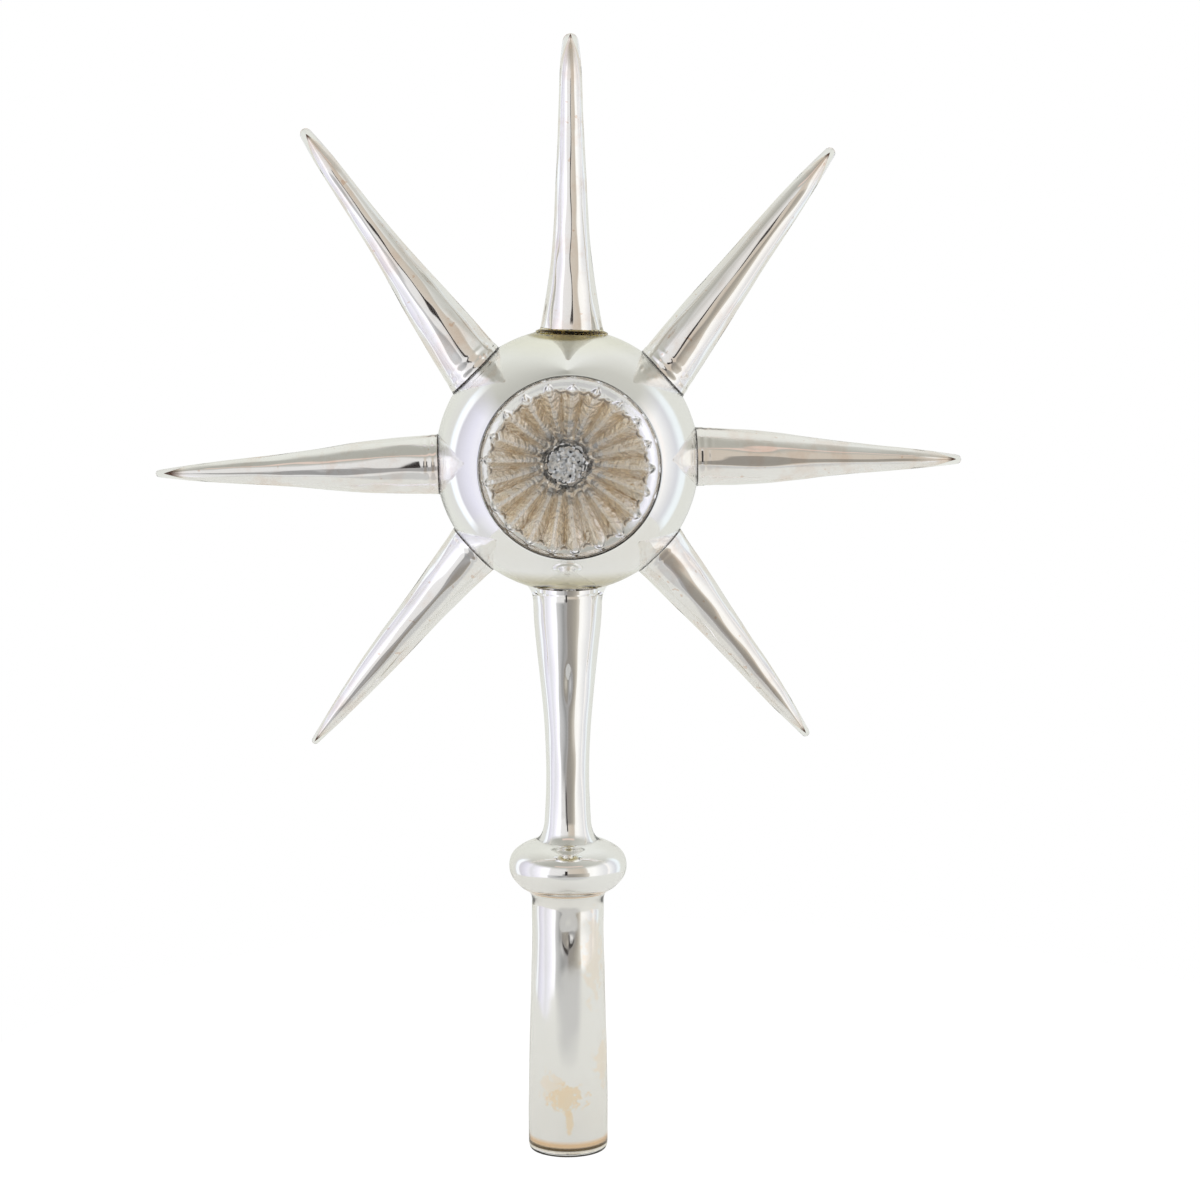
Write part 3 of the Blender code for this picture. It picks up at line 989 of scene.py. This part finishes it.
make_ball((glass, ball_silver, joint))
dish_floor = make_reflector((glass, reflector_silver, joint))
make_glitter(dish_floor, glue_material(), flake_material())
for number, spike in enumerate(SPIKES):
    lining = silver(spike.name + "_silver", (0.97, 0.965, 0.96), (0.93, 0.90, 0.87),
                    spike_stains(spike), 0.04)
    make_spike(spike, (glass, lining, joint, amber), 20 + number)
body = (glass, stem_silver, joint)
make_section("stem", BODY_OUTLINE[0][0], KNOP_TOP + SEAM, body, "silvered_stem")
make_section("knop", KNOP_TOP - SEAM, KNOP_FOOT + SEAM, body, "silvered_stem")
make_section("socket", KNOP_FOOT - SEAM, LIP_TOP, (glass, socket_silver, joint), "silvered_socket",
             LIP)


# ---------------------------------------------------------------- stage

def make_table():
    """A white table. The camera sees it white, as in a cut-out; the glass sees it softly lit."""
    mesh = bpy.data.meshes.new("table")
    turns = np.linspace(0.0, 2 * math.pi, 97)[:-1]
    left = np.clip(-np.cos(turns) - TABLE_CUT_START, 0.0, 1.0)
    reach = TABLE_RADIUS * (1.0 - TABLE_CUT * left)
    rim = [(r * math.cos(t), r * math.sin(t), -0.0002) for r, t in zip(reach, turns)]
    mesh.from_pydata(rim, [], [list(range(len(rim)))])
    table = bpy.data.objects.new("table", mesh)
    bpy.context.scene.collection.objects.link(table)
    material, tree, shader, output = new_material("white_table")
    # Painted shade: a grey patch on the table in front of the finial, seen in the glass.
    shade = add_spot(tree, (0.0, -TABLE_SHADE, 0.0), (260.0, 170.0, 500.0), 0.0)
    pale = tree.nodes.new("ShaderNodeRGB")
    pale.outputs[0].default_value = (0.88, 0.88, 0.87, 1.0)
    tree.links.new(add_mix(tree, shade, pale.outputs[0], (0.60, 0.60, 0.62)),
                   shader.inputs["Base Color"])
    shader.inputs["Roughness"].default_value = 0.9
    shader.inputs["Emission Color"].default_value = (1.0, 1.0, 0.98, 1.0)
    shader.inputs["Emission Strength"].default_value = 0.18
    white = tree.nodes.new("ShaderNodeEmission")
    white.inputs["Color"].default_value = (1.0, 1.0, 1.0, 1.0)
    white.inputs["Strength"].default_value = 1.0
    faint = tree.nodes.new("ShaderNodeBsdfDiffuse")
    faint.inputs["Color"].default_value = (0.14, 0.14, 0.14, 1.0)
    cut_out = tree.nodes.new("ShaderNodeAddShader")
    tree.links.new(white.outputs[0], cut_out.inputs[0])
    tree.links.new(faint.outputs[0], cut_out.inputs[1])
    ray = tree.nodes.new("ShaderNodeLightPath")
    switch = tree.nodes.new("ShaderNodeMixShader")
    tree.links.new(ray.outputs["Is Camera Ray"], switch.inputs["Fac"])
    tree.links.new(shader.outputs["BSDF"], switch.inputs[1])
    tree.links.new(cut_out.outputs[0], switch.inputs[2])
    tree.links.new(switch.outputs[0], output.inputs["Surface"])
    mesh.materials.append(material)


def build_studio():
    """A white studio: soft boxes left and right, a dim room in front, and a pale ceiling."""
    world = bpy.data.worlds.new("studio")
    bpy.context.scene.world = world
    world.use_nodes = True
    tree = world.node_tree
    tree.nodes.clear()
    direction = tree.nodes.new("ShaderNodeTexCoord").outputs["Generated"]
    split = tree.nodes.new("ShaderNodeSeparateXYZ")
    tree.links.new(direction, split.inputs[0])
    towards = add_math(tree, "MULTIPLY", split.outputs["Y"], -1.0)
    turn = add_math(tree, "ARCTAN2", split.outputs["X"], towards)
    around = add_math(tree, "DIVIDE", turn, math.radians(1.0))
    rise = add_math(
        tree, "DIVIDE", add_math(tree, "ARCSINE", split.outputs["Z"]), math.radians(1.0)
    )
    circle = add_math(tree, "MULTIPLY_ADD", around, 1 / 360, 0.5)

    def all_round(*stops):
        """Colours by direction: degrees to the right of the front, and a colour."""
        return add_ramp(tree, circle, [((d + 180.0) / 360.0, colour) for d, colour in stops])

    walls = all_round(
        (-180, (0.78, 0.79, 0.74)),
        (-150, (0.77, 0.78, 0.73)),
        (-130, (0.74, 0.74, 0.72)),
        (-127, (1.00, 1.06, 1.14)),
        (-119, (1.08, 1.10, 1.14)),
        (-116, (0.66, 0.65, 0.72)),
        (-100, (0.82, 0.81, 0.92)),
        (-92, (0.90, 0.89, 0.98)),
        (-84, (0.78, 0.78, 0.83)),
        (-70, (0.92, 0.91, 1.00)),
        (-53, (1.14, 1.13, 1.20)),
        (-43, (1.10, 1.10, 1.15)),
        (-39, (0.84, 0.83, 0.84)),
        (-6, (0.78, 0.77, 0.76)),
        (2, (0.64, 0.58, 0.51)),
        (30, (0.60, 0.53, 0.45)),
        (37, (0.66, 0.61, 0.55)),
        (41, (1.02, 1.01, 0.98)),
        (56, (1.04, 1.03, 1.02)),
        (80, (0.82, 0.82, 0.83)),
        (88, (0.78, 0.78, 0.80)),
        (92, (1.04, 1.00, 0.98)),
        (97, (0.92, 0.92, 0.93)),
        (112, (0.70, 0.71, 0.76)),
        (119, (0.92, 0.98, 1.02)),
        (126, (0.92, 0.98, 1.02)),
        (129, (0.77, 0.78, 0.74)),
    )
    ceiling = all_round(
        (-180, (0.84, 0.85, 0.81)),
        (-150, (0.78, 0.79, 0.74)),
        (-110, (0.60, 0.60, 0.56)),
        (-60, (0.45, 0.45, 0.415)),
        (0, (0.43, 0.425, 0.385)),
        (60, (0.54, 0.54, 0.50)),
        (110, (0.62, 0.62, 0.58)),
        (150, (0.82, 0.83, 0.80)),
        (180, (0.84, 0.85, 0.81)),
    )
    ground = all_round(
        (-180, (0.72, 0.72, 0.67)),
        (-115, (0.72, 0.72, 0.74)),
        (-95, (0.90, 0.89, 0.98)),
        (-52, (0.96, 0.95, 1.02)),
        (-36, (0.80, 0.80, 0.80)),
        (36, (0.76, 0.76, 0.74)),
        (52, (0.92, 0.92, 0.98)),
        (95, (0.84, 0.83, 0.90)),
        (115, (0.72, 0.72, 0.70)),
        (180, (0.72, 0.72, 0.67)),
    )
    room = all_round(
        (-41, (0.60, 0.60, 0.61)),
        (-29, (0.46, 0.46, 0.47)),
        (-18, (0.30, 0.30, 0.30)),
        (-4, (0.38, 0.37, 0.37)),
        (1, (0.29, 0.27, 0.25)),
        (14, (0.31, 0.29, 0.26)),
        (29, (0.42, 0.39, 0.34)),
        (39, (0.62, 0.58, 0.52)),
    )

    def overlay(base, colour, sides, levels):
        """Lay a colour over part of the room: edges in degrees around and up."""
        mask = add_math(
            tree, "MULTIPLY", add_window(tree, around, sides), add_window(tree, rise, levels)
        )
        return add_mix(tree, mask, base, colour)

    light = add_mix(tree, add_window(tree, rise, (26, 42, 200, 201)), walls, ceiling)
    light = add_mix(tree, add_window(tree, rise, (-201, -200, -36, -30)), light, ground)
    walled = light
    light = overlay(light, room, (-46, -42, 41, 44), (-31, -27, -10, -6))
    light = overlay(light, room, (-14, -10, 41, 44), (-12, -9, -1.5, 3))
    beam = (0.76, 0.62, 0.55)
    light = overlay(light, beam, (-38, -34, 34, 40), (41, 43, 48, 51))
    figure = (0.02, 0.015, 0.015)
    light = overlay(light, figure, (-7.4, -6.6, -1.4, -0.6), (-8, -6, 15, 18))

    # Light that has met glass and silver over and over, as deep in the cup, hardly sees the room.
    ray = tree.nodes.new("ShaderNodeLightPath")
    deep = add_window(tree, ray.outputs["Ray Depth"], DEEP_BOUNCES)
    light = add_mix(tree, add_math(tree, "MULTIPLY", deep, DEEP_SHARE), light, walled)

    seen = tree.nodes.new("ShaderNodeBackground")
    seen.inputs["Color"].default_value = (1.0, 1.0, 1.0, 1.0)
    lit = tree.nodes.new("ShaderNodeBackground")
    tree.links.new(light, lit.inputs["Color"])
    switch = tree.nodes.new("ShaderNodeMixShader")
    tree.links.new(ray.outputs["Is Camera Ray"], switch.inputs["Fac"])
    tree.links.new(lit.outputs[0], switch.inputs[1])
    tree.links.new(seen.outputs[0], switch.inputs[2])
    output = tree.nodes.new("ShaderNodeOutputWorld")
    tree.links.new(switch.outputs[0], output.inputs["Surface"])


def place_camera():
    """Slightly above the ball and a little to its left, from about 0.9 m."""
    aim = Vector((9.56, 0.0, 165.6)) * MM
    distance, lift, turn = 889.4 * MM, math.radians(7.2), math.radians(-2.0)
    back = Vector(
        (math.sin(turn) * math.cos(lift), -math.cos(turn) * math.cos(lift), math.sin(lift))
    )
    data = bpy.data.cameras.new("camera")
    data.sensor_width = 36.0
    data.lens = 90.7
    data.clip_start = 0.01
    data.clip_end = 50.0
    camera = bpy.data.objects.new("camera", data)
    camera.location = aim + back * distance
    camera.rotation_mode = "QUATERNION"
    camera.rotation_quaternion = (-back).to_track_quat("-Z", "Y")
    bpy.context.scene.collection.objects.link(camera)
    bpy.context.scene.camera = camera


make_table()
build_studio()
place_camera()
scene = bpy.context.scene
scene.view_settings.view_transform = "Standard"
# Light meets glass, silver and glass again at every turn inside the cup and the walls.
scene.cycles.max_bounces = 28
scene.cycles.glossy_bounces = 16
scene.cycles.transmission_bounces = 28
